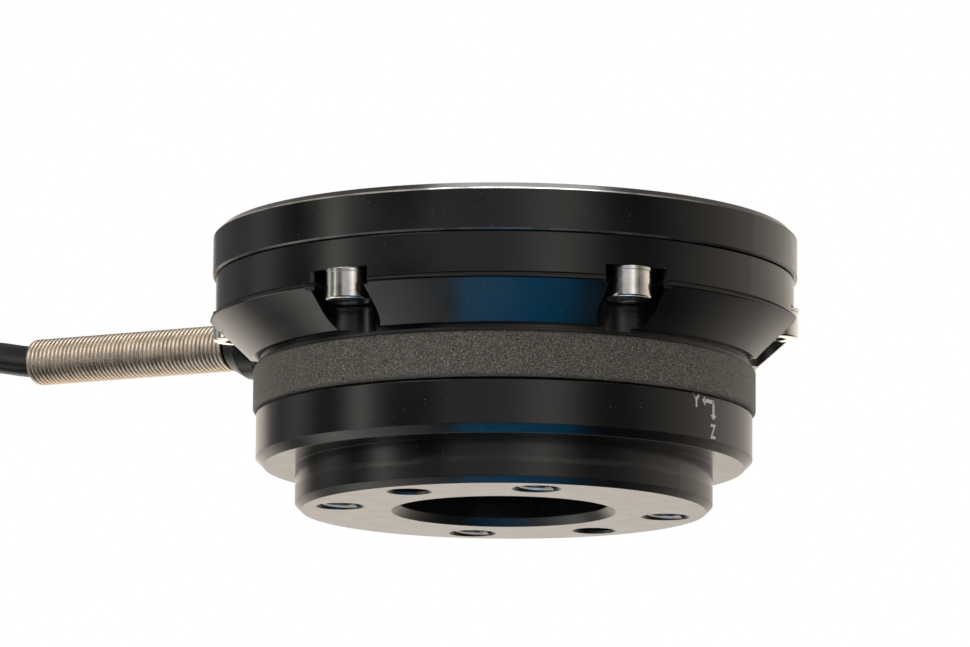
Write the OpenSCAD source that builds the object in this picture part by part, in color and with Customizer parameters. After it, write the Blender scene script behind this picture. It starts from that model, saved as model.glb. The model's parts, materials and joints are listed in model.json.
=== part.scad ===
// Six-axis force torque sensor for a robot wrist.
// Origin: centre of the tool-side face. +Z runs towards the robot, +X through the axis mark,
// and the cable leaves along -X.

/* [Bolt interfaces] */
// Bolt circle of the tool side and of the robot side
bolt_pcd = 50; // [48:0.5:54]
// Minor diameter of the M6 threads on the tool side
tool_thread_d = 5; // [4.6:0.1:5.2]
// Clearance hole for the robot's M6 screws
robot_hole_d = 6.6; // [6.4:0.1:7]
// Counterbore for the robot's M6 screw heads
robot_bore_d = 11; // [10.5:0.1:12]
// Depth of that counterbore
robot_bore_h = 4.2; // [3:0.1:5]
// Dowel pin and dowel hole diameter
dowel_d = 6; // [5:0.5:8]
// Pilot diameter of both sides
pilot_d = 31.5; // [28:0.5:34]
// Depth of the tool-side pilot bore
pilot_depth = 6.5; // [5:0.1:7.5]
// Height of the robot-side pilot boss
pilot_boss_h = 5; // [3:0.5:6]

/* [Tool plate] */
// Neck diameter, the tool-side flange
neck_d = 63; // [62:0.5:68]
// Neck height
neck_h = 6.6; // [6:0.1:8]
// Diameter of the ring above the neck
ring_d = 75; // [74:0.5:80]
// Height of that ring
ring_h = 7.9; // [6.5:0.1:9]
// Chamfer under the ring
ring_chamfer = 1.2; // [0.5:0.1:1.5]
// Chamfer around the tool face
face_chamfer = 0.95; // [0.5:0.05:1.5]
// Chamfer at the pilot bore's mouth
pilot_chamfer = 1.2; // [0.5:0.1:1.5]
// Depth of the recess on the inner side
recess_h = 2.4; // [1.5:0.1:3]
// Depth of the tapped and dowel holes
tool_hole_depth = 9; // [7:0.1:10]

/* [Load cell] */
// Gap between the tool plate and the load cell's outer ring
overload_gap = 0.5; // [0.3:0.1:0.8]
// Outer diameter of the load cell's ring
cell_d = 72.6; // [72:0.1:74]
// Inner diameter of the load cell's ring
cell_inner_d = 58.8; // [56:0.1:60]
// Height of the load cell's ring without its lip
cell_h = 6.5; // [5.5:0.1:8]
// Height of the lip on the ring
lip_h = 0.5; // [0.3:0.1:1]
// Hub diameter
hub_d = 25; // [24:0.5:30]
// Spoke width
spoke_w = 7; // [5:0.5:10]
// Spoke height
spoke_h = 5.2; // [4:0.1:6]
// Number of spokes
spokes = 4; // [3:1:4]
// Thickness of the sealing band
band_t = 1.6; // [1:0.1:2.5]
// Height of the sealing band
band_h = 6.6; // [5:0.1:7]

/* [Sensor body] */
// Rim diameter
rim_d = 87.6; // [87:0.1:92]
// Height of the cone shroud
shroud_h = 6.85; // [6:0.05:8]
// Height of the rim
rim_h = 6.35; // [6:0.05:8]
// Height of the groove between the load cell's lip and the cone
groove_h = 0.6; // [0.3:0.1:1]
// Diameter of the cone at its lower edge
cone_small_d = 76.8; // [76.4:0.1:78]
// Large diameter of the cone, at its lip
cone_large_d = 89.2; // [88.5:0.1:94]
// Cavity diameter
cavity_d = 58; // [56:0.5:59]
// Pitch circle of the six body screws
screw_pcd = 82; // [81.5:0.1:83]
// Diameter of the screw pockets
pocket_d = 9.4; // [8.6:0.1:10]
// Height of the pocket ceiling above the rim's lower edge
pocket_rise = 1.8; // [1:0.1:2.5]
// Chamfer on the pockets' upright edges in the rim
pocket_chamfer = 0.5; // [0.2:0.1:0.8]

/* [Coupling plate] */
// Diameter of the coupling plate
coupling_d = 88.6; // [87:0.1:94]
// Thickness of the coupling plate
coupling_h = 7; // [6.8:0.1:10]
// Chamfer on its upper edge
coupling_chamfer = 1; // [0.5:0.1:1.5]

/* [Cable] */
// Cable diameter
cable_d = 5; // [4:0.5:6]
// Height of the cable exit above the tool face
exit_z = 29.5; // [29.2:0.1:30]
// Distance from the axis to the gland's face
gland_reach = 50.3; // [48:0.1:56]
// Wire diameter of the strain relief spring
spring_wire = 0.8; // [0.6:0.1:1]
// Outer diameter of the spring
spring_d = 7.35; // [7:0.05:8]
// Number of turns in the spring
spring_turns = 49; // [30:1:60]
// Upward tilt of the spring in degrees
spring_tilt = 1.4; // [0:0.1:3]

/* [Hidden] */
$fn = 96;

eps = 0.01;
through = 1;             // how far a cutter runs past the face it opens
slide_gap = 0.1;         // between pieces that slip over each other
thread_gap = 0.05;       // between a screw's shank and its tapped hole
edge_break = 0.25;       // small chamfer on sharp edges
dowel_press = 0.5;       // how much thicker the dowel pin's pressed end is, on the radius

// Fasteners: shank radius, head radius, head height, hex key across flats
M6 = 3;
M4 = [2, 3.4, 4, 3];
M3 = [1.5, 2.75, 3, 2.5];
M2_5 = [1.25, 2.25, 1.5, 1.5];
washer_h = 0.5;
washer_r = 3.5;
clearance = 0.2;         // on the radius of a clearance hole

// Heights
ring_z = neck_h;
plate_top = neck_h + ring_h;
floor_z = plate_top - recess_h;
cell_z = plate_top + overload_gap;
lip_z = cell_z + cell_h;
body_z = lip_z + lip_h;
rim_z = body_z + shroud_h;
body_top = rim_z + rim_h;
coupling_top = body_top + coupling_h;
ceiling_z = rim_z + pocket_rise;
hub_top = body_z + 0.1;
spoke_z = cell_z + 0.7;

// Tool plate
bolt_r = bolt_pcd / 2;
insert_t = 0.75;
insert_r = tool_thread_d / 2 + insert_t;
recess_r = cell_inner_d / 2 + 1;
tool_bolt_angles = [45, 135, 225, 315];
tool_dowel_angles = [90, 270];
dowel_hole_depth = tool_hole_depth - 1;
mouth_chamfer = 0.4;

// Load cell
hub_screw_r = hub_d / 2 - 5;
hub_screw_reach = floor_z - 3.6;
hub_seat_z = hub_top - M4[2] - 0.2;
hub_bore_r = 3;
cell_screws_n = 8;
cell_screw_r = (cell_inner_d + cell_d) / 4 + 0.15;
cell_seat_z = cell_z + M3[2] + 0.3;
cell_screw_top = body_z + 4.6;
lip_r = cone_small_d / 2 - 1;
flexure_wall = 1.8;
flexure_slot = 1.2;
flexure_half_angle = 12;
gauge = [6, 4, 0.3];

// Sealing band
band_r = cell_d / 2 + slide_gap;
band_z = plate_top + 0.3;
band_round = 0.5;

// Sensor body
boss_r = cone_small_d / 2 - 2.5;
groove_r = cone_small_d / 2 - 1.4;
ledge_r = cavity_d / 2 - 4.5;
board_z = body_z + 2.3;
board_t = 1.6;
board_r = cavity_d / 2 - 0.4;
board_top = board_z + board_t;
board_screw_r = cavity_d / 2 - 2.5;
rebate_r = screw_pcd / 2 - 6.4;
gasket_t = 0.3;
cover_t = 1.2;
cover_z = body_top - 0.1 - cover_t - gasket_t;
cover_screw_r = (cavity_d / 2 + rebate_r) / 2;
seal_groove_w = 1.6;
seal_groove_h = 1.1;
seal_r = rebate_r + 2.6;
screw_r = screw_pcd / 2;
screw_angles = [for (i = [0:5]) 30 + 60 * i];
screw_end_z = body_top + 4.8;
tapped_end_z = body_top + 5.6;

// Cable exit
cable_r = cable_d / 2;
gland_bore_r = cable_r + slide_gap;
gland_r = cable_r + 2.35;
gland_step_x = seal_r + seal_groove_w + 0.4;
gland_collar_x = cone_large_d / 2 + 0.15;
gland_collar_r = cable_r + 2.8;
gland_taper = 2.7;       // length of the collar's tapered end
gland_spigot_r = cable_r + 0.7;
gland_hole_r = gland_r + slide_gap;
spigot_hole_r = gland_spigot_r + slide_gap;
ferrule_r = cable_r + 0.8;
ferrule_x = [cavity_d / 2 - 4, cavity_d / 2 - 0.5];
cable_start_x = cavity_d / 2 - 5;
connector_x = cable_start_x - 3;
connector_size = [7, 10, 6];
spring_r = spring_d / 2;
spring_len = spring_turns * spring_wire;

// Coil of spare cable: two columns and two layers of turns, lying on its ties
coil_c = [-128, -32];
tie_t = 0.6;
tie_w = 4;
coil_r = [24.5, 29.5, 34.5];         // edges of the columns of turns
layer_z = [tie_t, tie_t + cable_d, tie_t + 2 * cable_d];
arriving_a = [215, 270];             // sector where the cable joins the outer, lower turn
leaving_a = [280, 316];              // sector where its free end leaves the outer, upper turn

// Route of the cable from the board to the coil
cable_route = [[-24, 0, 29.5], [-37, 0, 29.5], [-50, 0, 29.5], [-63, 0, 29.8], [-77, 0, 30.2],
    [-90, 0, 30.6], [-98, 0, 32], [-107, 0, 33], [-117, 0.5, 33], [-128, 1.5, 31.5],
    [-137, 1.5, 29.2], [-146, -1, 26], [-154, -6, 22], [-160.5, -13, 18], [-164, -22, 14],
    [-165.5, -32, 10], [-164.5, -42, 6.8], [-160.5, -51, 4.5], [-153.5, -58, 3.4],
    [-145.5, -62.5, 3.1], [-137, -64, 3.1], [-128, -64, 3.1]];
// Route of the free end from the coil to the connector
tail_route = [[-122.4, -63.5, 8.1], [-117, -62.5, 8.1], [-111, -61.5, 8.1], [-105, -61, 8.1],
    [-101, -61, 7.6], [-98, -61, 7.3], [-92, -61, 7.25]];

// Connector, lying beside the coil
plug_x = -98;
plug_y = -61;
plug_r = 7.25;
plug_z = plug_r;

// Points along an arc in the r-z plane, for profiles
function arc(c, r, from, to, n = 6) =
    [for (i = [0:n]) let (a = from + (to - from) * i / n) c + r * [cos(a), sin(a)]];

module around(angles, r) {
    for (a = angles) rotate([0, 0, a]) translate([r, 0, 0]) children();
}

module drill(r, from_z, to_z) {
    translate([0, 0, from_z]) cylinder(r = r, h = to_z - from_z);
}

// Everything that runs along the cable exit: local +Z points along -X
module along_exit(tilt = 0) {
    translate([0, 0, exit_z]) rotate([0, -90 + tilt, 0]) children();
}

// Socket head screw, head below z = 0 and shank above it
module socket_screw(size, shank, socket_depth) {
    round_r = size[1] * 0.12;
    difference() {
        union() {
            rotate_extrude() polygon(concat([[0, 0], [0, -size[2]]],
                arc([size[1] - round_r, round_r - size[2]], round_r, -90, 0), [[size[1], 0]]));
            cylinder(r = size[0], h = shank);
        }
        translate([0, 0, -size[2] - eps])
            cylinder(d = size[3] / cos(30), h = socket_depth, $fn = 6);
    }
}

// Screw pocket: a vertical bore with a slot of its width running outwards
module screw_pockets() {
    around(screw_angles, screw_r) {
        drill(pocket_d / 2, lip_z - through, ceiling_z);
        translate([0, -pocket_d / 2, lip_z - through])
            cube([rim_d, pocket_d, ceiling_z - lip_z + through]);
    }
    around(screw_angles, rim_d / 2) translate([0, 0, rim_z - through])
        linear_extrude(ceiling_z - rim_z + through) pocket_mouth();
}

// Flare that chamfers a pocket's upright edges where it opens through the rim
module pocket_mouth() {
    half = pocket_d / 2;
    polygon([[-pocket_chamfer - half * half / rim_d, -half],
        [through, -half - pocket_chamfer - through], [through, half + pocket_chamfer + through],
        [-pocket_chamfer - half * half / rim_d, half]]);
}

module exit_bore() {
    along_exit() {
        translate([0, 0, cavity_d / 2 - 2]) cylinder(r = spigot_hole_r, h = gland_step_x);
        translate([0, 0, gland_step_x]) cylinder(r = gland_hole_r, h = rim_d);
    }
}

module coupling_plate() {
    color([0.13, 0.13, 0.14]) difference() {
        rotate_extrude() polygon([[0, body_top], [coupling_d / 2 - edge_break, body_top],
            [coupling_d / 2, body_top + edge_break], [coupling_d / 2, coupling_top - coupling_chamfer],
            [coupling_d / 2 - coupling_chamfer, coupling_top], [pilot_d / 2, coupling_top],
            [pilot_d / 2, coupling_top + pilot_boss_h - 0.5],
            [pilot_d / 2 - 0.5, coupling_top + pilot_boss_h], [0, coupling_top + pilot_boss_h]]);
        around(tool_bolt_angles, bolt_r) {
            drill(robot_hole_d / 2, body_top - through, coupling_top + through);
            drill(robot_bore_d / 2, body_top - through, body_top + robot_bore_h);
        }
        around([90], bolt_r)
            drill(dowel_d / 2 + dowel_press + 0.02, coupling_top - dowel_d, coupling_top + through);
        around(screw_angles, screw_r) drill(M4[0] + thread_gap, body_top - through, tapped_end_z);
    }
}

module robot_dowel_pin() {
    pin_r = dowel_d / 2;
    press_r = pin_r + dowel_press;
    color("silver") around([90], bolt_r) translate([0, 0, coupling_top - dowel_d])
        rotate_extrude() polygon([[0, 0], [press_r - 0.3, 0], [press_r, 0.3],
            [press_r, dowel_d - edge_break], [pin_r, dowel_d], [pin_r, dowel_d + 3.5],
            [pin_r - 0.5, dowel_d + 4], [0, dowel_d + 4]]);
}

module ring_section(inner, outer, z, h) {
    rotate_extrude() translate([inner, z]) square([outer - inner, h]);
}

module coupling_seal() {
    color([0.05, 0.05, 0.05]) ring_section(seal_r + slide_gap, seal_r + seal_groove_w - slide_gap,
        body_top - seal_groove_h, seal_groove_h);
}

module sensor_body() {
    rim_r = rim_d / 2;
    color([0.12, 0.12, 0.13]) difference() {
        rotate_extrude() polygon([[cavity_d / 2, board_z], [ledge_r, board_z], [ledge_r, body_z],
            [boss_r, body_z], [boss_r, rim_z], [rim_r - edge_break, rim_z],
            [rim_r, rim_z + edge_break], [rim_r, body_top - edge_break],
            [rim_r - edge_break, body_top], [rebate_r, body_top], [rebate_r, cover_z],
            [cavity_d / 2, cover_z]]);
        screw_pockets();
        exit_bore();
        around(screw_angles, screw_r) drill(M4[0] + clearance, rim_z, body_top + through);
        around([for (i = [0:cell_screws_n - 1]) (i + 0.5) * 360 / cell_screws_n], cell_screw_r)
            drill(M3[0] + thread_gap, body_z - through, cell_screw_top + 0.5);
        around(screw_angles, cover_screw_r)
            drill(M2_5[0] + thread_gap, cover_z - 5, cover_z + through);
        around(tool_bolt_angles, board_screw_r)
            drill(M2_5[0] + thread_gap, body_z - through, board_z + through);
        ring_section(seal_r, seal_r + seal_groove_w, body_top - seal_groove_h, through + seal_groove_h);
    }
}

module cone_shroud() {
    small_r = cone_small_d / 2;
    large_r = cone_large_d / 2;
    lip_round = 0.45;
    color([0.12, 0.12, 0.13]) difference() {
        rotate_extrude() polygon(concat([[boss_r + slide_gap, body_z], [groove_r, body_z],
            [groove_r, body_z + groove_h], [small_r, body_z + groove_h]],
            arc([large_r - lip_round, rim_z - lip_round], lip_round, -45, 90),
            [[boss_r + slide_gap, rim_z]]));
        screw_pockets();
        exit_bore();
    }
}

module sensor_screws() {
    color("silver") around(screw_angles, screw_r) translate([0, 0, ceiling_z - washer_h])
        socket_screw(M4, screw_end_z - ceiling_z + washer_h, 2);
}

module screw_washers() {
    color("gainsboro") around(screw_angles, screw_r) difference() {
        drill(washer_r, ceiling_z - washer_h, ceiling_z);
        drill(M4[0] + slide_gap, ceiling_z - through, ceiling_z + through);
    }
}

module sealing_band() {
    outer = band_r + band_t;
    color([0.2, 0.19, 0.18]) rotate_extrude() polygon(concat([[band_r, band_z]],
        arc([outer - band_round, band_z + band_round], band_round, -90, 0),
        arc([outer - band_round, band_z + band_h - band_round], band_round, 0, 90),
        [[band_r, band_z + band_h]]));
}

module tool_plate() {
    neck_r = neck_d / 2;
    ring_r = ring_d / 2;
    color([0.13, 0.13, 0.14]) difference() {
        rotate_extrude() polygon([[0, pilot_depth], [pilot_d / 2, pilot_depth],
            [pilot_d / 2, pilot_chamfer], [pilot_d / 2 + pilot_chamfer, 0],
            [neck_r - face_chamfer, 0], [neck_r, face_chamfer], [neck_r, ring_z],
            [ring_r - ring_chamfer, ring_z], [ring_r, ring_z + ring_chamfer],
            [ring_r, plate_top - edge_break], [ring_r - edge_break, plate_top],
            [recess_r, plate_top], [recess_r, floor_z], [0, floor_z]]);
        around(tool_bolt_angles, bolt_r) {
            drill(insert_r + thread_gap, -through, tool_hole_depth + 0.2);
            hole_mouth(insert_r + thread_gap);
        }
        around(tool_dowel_angles, bolt_r) {
            drill(dowel_d / 2, -through, dowel_hole_depth);
            hole_mouth(dowel_d / 2);
        }
        around(tool_bolt_angles, hub_screw_r)
            drill(M4[0] + thread_gap, hub_screw_reach - 0.3, floor_z + through);
    }
}

module hole_mouth(r) {
    translate([0, 0, -eps]) cylinder(r1 = r + mouth_chamfer, r2 = r, h = mouth_chamfer);
}

module thread_inserts() {
    color("silver") around(tool_bolt_angles, bolt_r) difference() {
        drill(insert_r, mouth_chamfer, tool_hole_depth);
        drill(tool_thread_d / 2, 0, tool_hole_depth + through);
    }
}

// Cross-shaped load cell: hub, spokes that end in thin walls, and the outer ring
module load_cell() {
    inner = cell_inner_d / 2;
    color([0.75, 0.76, 0.78]) difference() {
        union() {
            drill(hub_d / 2, floor_z, hub_top);
            for (i = [0:spokes - 1]) rotate([0, 0, i * 360 / spokes])
                translate([hub_d / 2 - 1, -spoke_w / 2, spoke_z])
                    cube([inner + flexure_wall / 2 - hub_d / 2 + 1, spoke_w, spoke_h]);
            rotate_extrude() polygon([[inner, cell_z], [cell_d / 2, cell_z], [cell_d / 2, lip_z],
                [lip_r, lip_z], [lip_r, body_z], [inner, body_z]]);
        }
        drill(hub_bore_r, floor_z - through, hub_top + through);
        for (i = [0:spokes - 1])
            rotate([0, 0, i * 360 / spokes - flexure_half_angle])
                rotate_extrude(angle = 2 * flexure_half_angle)
                    translate([inner + flexure_wall, cell_z - through])
                        square([flexure_slot, cell_h + lip_h + 2 * through]);
        around(tool_bolt_angles, hub_screw_r) {
            drill(M4[0] + clearance, floor_z - through, hub_top);
            drill(M4[1] + clearance, hub_seat_z, hub_top + through);
        }
        around([for (i = [0:cell_screws_n - 1]) (i + 0.5) * 360 / cell_screws_n], cell_screw_r) {
            drill(M3[0] + clearance, cell_z, body_z + through);
            drill(M3[1] + clearance, cell_z - through, cell_seat_z);
        }
    }
}

module strain_gauges() {
    color("goldenrod") for (i = [0:spokes - 1]) rotate([0, 0, i * 360 / spokes])
        for (r = [hub_d / 2 + 1, cell_inner_d / 2 - 1 - gauge[0]])
            translate([r, -gauge[1] / 2, spoke_z + spoke_h]) cube(gauge);
}

module hub_screws() {
    color("silver") around(tool_bolt_angles, hub_screw_r) translate([0, 0, hub_seat_z])
        mirror([0, 0, 1]) socket_screw(M4, hub_seat_z - hub_screw_reach, 2);
}

module cell_screws() {
    color("silver")
        around([for (i = [0:cell_screws_n - 1]) (i + 0.5) * 360 / cell_screws_n], cell_screw_r)
            translate([0, 0, cell_seat_z]) socket_screw(M3, cell_screw_top - cell_seat_z, 1.5);
}

module circuit_board() {
    color([0.05, 0.3, 0.12]) difference() {
        drill(board_r, board_z, board_top);
        around(tool_bolt_angles, board_screw_r)
            drill(M2_5[0] + slide_gap, board_z - through, board_top + through);
        drill(hub_bore_r + 1, board_z - through, board_top + through);
    }
}

module chip(x, y, w, d, h) {
    translate([x - w / 2, y - d / 2, board_top]) cube([w, d, h]);
}

module board_chips() {
    color([0.08, 0.08, 0.09]) {
        chip(12, 0, 10, 10, 1.4);
        chip(2, 14, 6, 5, 1.2);
        chip(2, -14, 6, 5, 1.2);
        chip(-9, 12, 4, 4, 1);
        chip(-9, -12, 4, 4, 1);
        chip(21, 9, 3, 2, 1);
        chip(21, -9, 3, 2, 1);
    }
}

module board_connector() {
    color("ivory") translate([-connector_x, -connector_size[1] / 2, board_top])
        cube(connector_size);
}

module board_screws() {
    color("silver") around(tool_bolt_angles, board_screw_r) translate([0, 0, board_top])
        mirror([0, 0, 1]) socket_screw(M2_5, board_t + 2, 0.8);
}

module conductors() {
    spread = cable_r * 0.45;
    color("firebrick") for (y = [-spread, spread], z = [-spread, spread])
        along_exit() translate([z, y, connector_x])
            cylinder(r = 0.5, h = cable_start_x - connector_x, $fn = 24);
}

module cover_outline(z, h, hole_r) {
    difference() {
        drill(rebate_r - slide_gap, z, z + h);
        around(screw_angles, cover_screw_r) drill(hole_r, z - through, z + h + through);
    }
}

module cover_gasket() {
    color([0.1, 0.1, 0.1]) difference() {
        cover_outline(cover_z, gasket_t, M2_5[0] + clearance);
        drill(cavity_d / 2, cover_z - through, cover_z + through);
    }
}

module top_cover() {
    color("dimgray") difference() {
        cover_outline(cover_z + gasket_t, cover_t, M2_5[0] + clearance);
        around(screw_angles, cover_screw_r) translate([0, 0, cover_z + gasket_t + cover_t - 1])
            cylinder(r1 = M2_5[0] + slide_gap, r2 = M2_5[1] + slide_gap, h = 1 + eps);
    }
}

module cover_screws() {
    top = cover_z + gasket_t + cover_t;
    color("silver") around(screw_angles, cover_screw_r) difference() {
        union() {
            drill(M2_5[0], cover_z - 4.5, top - 1);
            translate([0, 0, top - 1]) cylinder(r1 = M2_5[0], r2 = M2_5[1], h = 1);
        }
        translate([0, 0, top - 0.7]) cylinder(d = M2_5[3] / cos(30), h = 1, $fn = 6);
    }
}

module cable_gland() {
    nose_r = spring_r + 0.15;
    color([0.07, 0.07, 0.08]) along_exit() rotate_extrude()
        polygon([[gland_bore_r, cavity_d / 2 + 0.2], [gland_spigot_r, cavity_d / 2 + 0.2],
            [gland_spigot_r, gland_step_x + 0.1], [gland_r, gland_step_x + 0.1],
            [gland_r, gland_collar_x], [gland_collar_r, gland_collar_x],
            [gland_collar_r, gland_reach - gland_taper], [nose_r, gland_reach],
            [gland_bore_r, gland_reach]]);
}

module cable_ferrule() {
    color("gainsboro") along_exit() difference() {
        drill(ferrule_r, ferrule_x[0], ferrule_x[1]);
        drill(gland_bore_r, ferrule_x[0] - through, ferrule_x[1] + through);
    }
}

// Close-wound spring over the cable, as a tube with one ridge for each turn
module strain_relief_spring() {
    wire_r = spring_wire / 2;
    color([0.7, 0.68, 0.64]) translate([-gland_reach, 0, exit_z]) rotate([0, -90 + spring_tilt, 0])
        translate([0, 0, 0.1]) rotate_extrude() {
            translate([spring_r - 1.5 * wire_r, 0]) square([wire_r, spring_len]);
            for (i = [0:spring_turns - 1])
                translate([spring_r - wire_r, (i + 0.5) * spring_wire]) circle(r = wire_r, $fn = 24);
        }
}

// Tube of n sides swept along a route of points that nowhere runs straight up
module swept_tube(route, r, n = 10) {
    last = len(route) - 1;
    function unit(v) = v / norm(v);
    function heading(i) = unit(route[min(i + 1, last)] - route[max(i - 1, 0)]);
    rings = [for (i = [0:last]) let (t = heading(i), u = unit(cross(t, [0, 0, 1])), v = cross(t, u))
        [for (k = [0:n - 1]) route[i] + r * (cos(360 * k / n) * u + sin(360 * k / n) * v)]];
    points = [for (ring = rings, p = ring) p];
    sides = [for (i = [0:last - 1], k = [0:n - 1]) let (k2 = (k + 1) % n)
        [i * n + k, i * n + k2, (i + 1) * n + k2, (i + 1) * n + k]];
    polyhedron(points, concat([[for (k = [0:n - 1]) n - 1 - k]], sides,
        [[for (k = [0:n - 1]) last * n + k]]));
}

module cable() {
    color([0.06, 0.06, 0.07]) swept_tube(cable_route, cable_r);
}

// Sector of the coil's outer column of turns, for a turn that isn't there
module outer_turn(sector, z, h) {
    rotate([0, 0, sector[0]]) rotate_extrude(angle = sector[1] - sector[0])
        translate([coil_r[1], z]) square([2 * cable_d, h]);
}

// Spare cable as the outer shape of its turns
module cable_coil() {
    color([0.06, 0.06, 0.07]) translate([coil_c[0], coil_c[1], 0]) difference() {
        ring_section(coil_r[0], coil_r[2], layer_z[0], 2 * cable_d);
        outer_turn(arriving_a, layer_z[0] - through, cable_d + through);
        outer_turn(leaving_a, layer_z[1], cable_d + through);
    }
}

module cable_tail() {
    color([0.06, 0.06, 0.07]) swept_tube(tail_route, cable_r);
}

module cable_ties() {
    inside = coil_r[0] - slide_gap;
    outside = coil_r[2] + slide_gap;
    top = layer_z[2] + slide_gap;
    color([0.1, 0.1, 0.1]) translate([coil_c[0], coil_c[1], 0]) for (a = [20, 130])
        rotate([0, 0, a]) difference() {
            translate([inside - tie_t, -tie_w / 2, 0])
                cube([outside - inside + 2 * tie_t, tie_w, top + tie_t]);
            translate([inside, -tie_w, tie_t]) cube([outside - inside, 2 * tie_w, top - tie_t]);
        }
}

// The connector's pieces are turned about its own axis; local +Z points along +X
module along_plug() {
    translate([plug_x, plug_y, plug_z]) rotate([0, 90, 0]) children();
}

module connector_body() {
    color([0.06, 0.06, 0.07]) along_plug() rotate_extrude() polygon([[cable_r + slide_gap, 0],
        [4.2, 0], [4.6, 8], [6.2, 12], [6.2, 27], [5.4, 27], [5.4, 41], [4.4, 41], [4.4, 28],
        [cable_r + slide_gap, 28]]);
}

module connector_nut() {
    color("silver") along_plug() difference() {
        rotate_extrude() polygon([[5.5, 27.3], [plug_r - 0.5, 27.3], [plug_r, 27.8], [plug_r, 35],
            [6, 35.6], [6, 42], [5.5, 42]]);
        for (i = [0:17]) rotate([0, 0, (i + 0.5) * 20]) translate([plug_r + 0.35, 0, 27])
            cylinder(r = 0.6, h = 9, $fn = 24);
    }
}

module connector_insert() {
    color([0.15, 0.15, 0.16]) along_plug() drill(4.3, 28, 36);
}

module connector_pins() {
    color("gold") along_plug() {
        around([45, 135, 225, 315], 2.5) drill(0.5, 36, 40.5);
        drill(0.5, 36, 40.5);
    }
}

coupling_plate();
robot_dowel_pin();
coupling_seal();
sensor_body();
cone_shroud();
sensor_screws();
screw_washers();
sealing_band();
tool_plate();
thread_inserts();
load_cell();
strain_gauges();
hub_screws();
cell_screws();
circuit_board();
board_chips();
board_connector();
board_screws();
conductors();
top_cover();
cover_gasket();
cover_screws();
cable_gland();
cable_ferrule();
strain_relief_spring();
cable();
cable_coil();
cable_tail();
cable_ties();
connector_body();
connector_nut();
connector_insert();
connector_pins();
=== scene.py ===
"""Force torque sensor: finishes, wire-wound pieces, cable, marks, studio and camera."""
import json
import math

import bpy
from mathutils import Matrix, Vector

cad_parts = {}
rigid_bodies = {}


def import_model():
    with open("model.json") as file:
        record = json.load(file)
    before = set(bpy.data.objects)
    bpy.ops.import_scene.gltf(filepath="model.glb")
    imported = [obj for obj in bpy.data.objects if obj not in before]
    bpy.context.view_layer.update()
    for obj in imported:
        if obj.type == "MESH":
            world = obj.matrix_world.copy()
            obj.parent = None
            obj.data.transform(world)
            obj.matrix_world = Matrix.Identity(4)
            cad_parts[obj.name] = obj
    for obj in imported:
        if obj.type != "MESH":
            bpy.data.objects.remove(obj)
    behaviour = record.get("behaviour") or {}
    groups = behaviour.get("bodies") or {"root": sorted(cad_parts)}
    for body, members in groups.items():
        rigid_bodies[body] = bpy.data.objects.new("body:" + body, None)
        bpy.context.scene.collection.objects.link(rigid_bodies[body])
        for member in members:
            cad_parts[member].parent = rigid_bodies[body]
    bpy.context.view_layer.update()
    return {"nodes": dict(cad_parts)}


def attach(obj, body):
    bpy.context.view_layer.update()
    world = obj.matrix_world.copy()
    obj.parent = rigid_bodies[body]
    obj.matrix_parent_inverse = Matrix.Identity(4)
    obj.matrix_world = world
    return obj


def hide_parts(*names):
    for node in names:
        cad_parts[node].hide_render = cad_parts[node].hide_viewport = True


MM = 0.001
BOLT_R = 0.025

bpy.ops.object.select_all(action="SELECT")
bpy.ops.object.delete()
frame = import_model()
cad = frame["nodes"]


# ---------------------------------------------------------------- camera

def place_camera():
    """Long lens, looking slightly upwards at the tool side."""
    bpy.ops.object.camera_add(
        location=(0.521019, -0.775352, -0.129846),
        rotation=[math.radians(a) for a in (99.6367, -0.3662, 34.0218)],
    )
    camera = bpy.context.object
    camera.name = "camera"
    camera.data.sensor_width = 36.0
    camera.data.lens = 232.024
    camera.data.clip_start = 0.05
    bpy.context.scene.camera = camera


# ---------------------------------------------------------------- finishes

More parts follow.
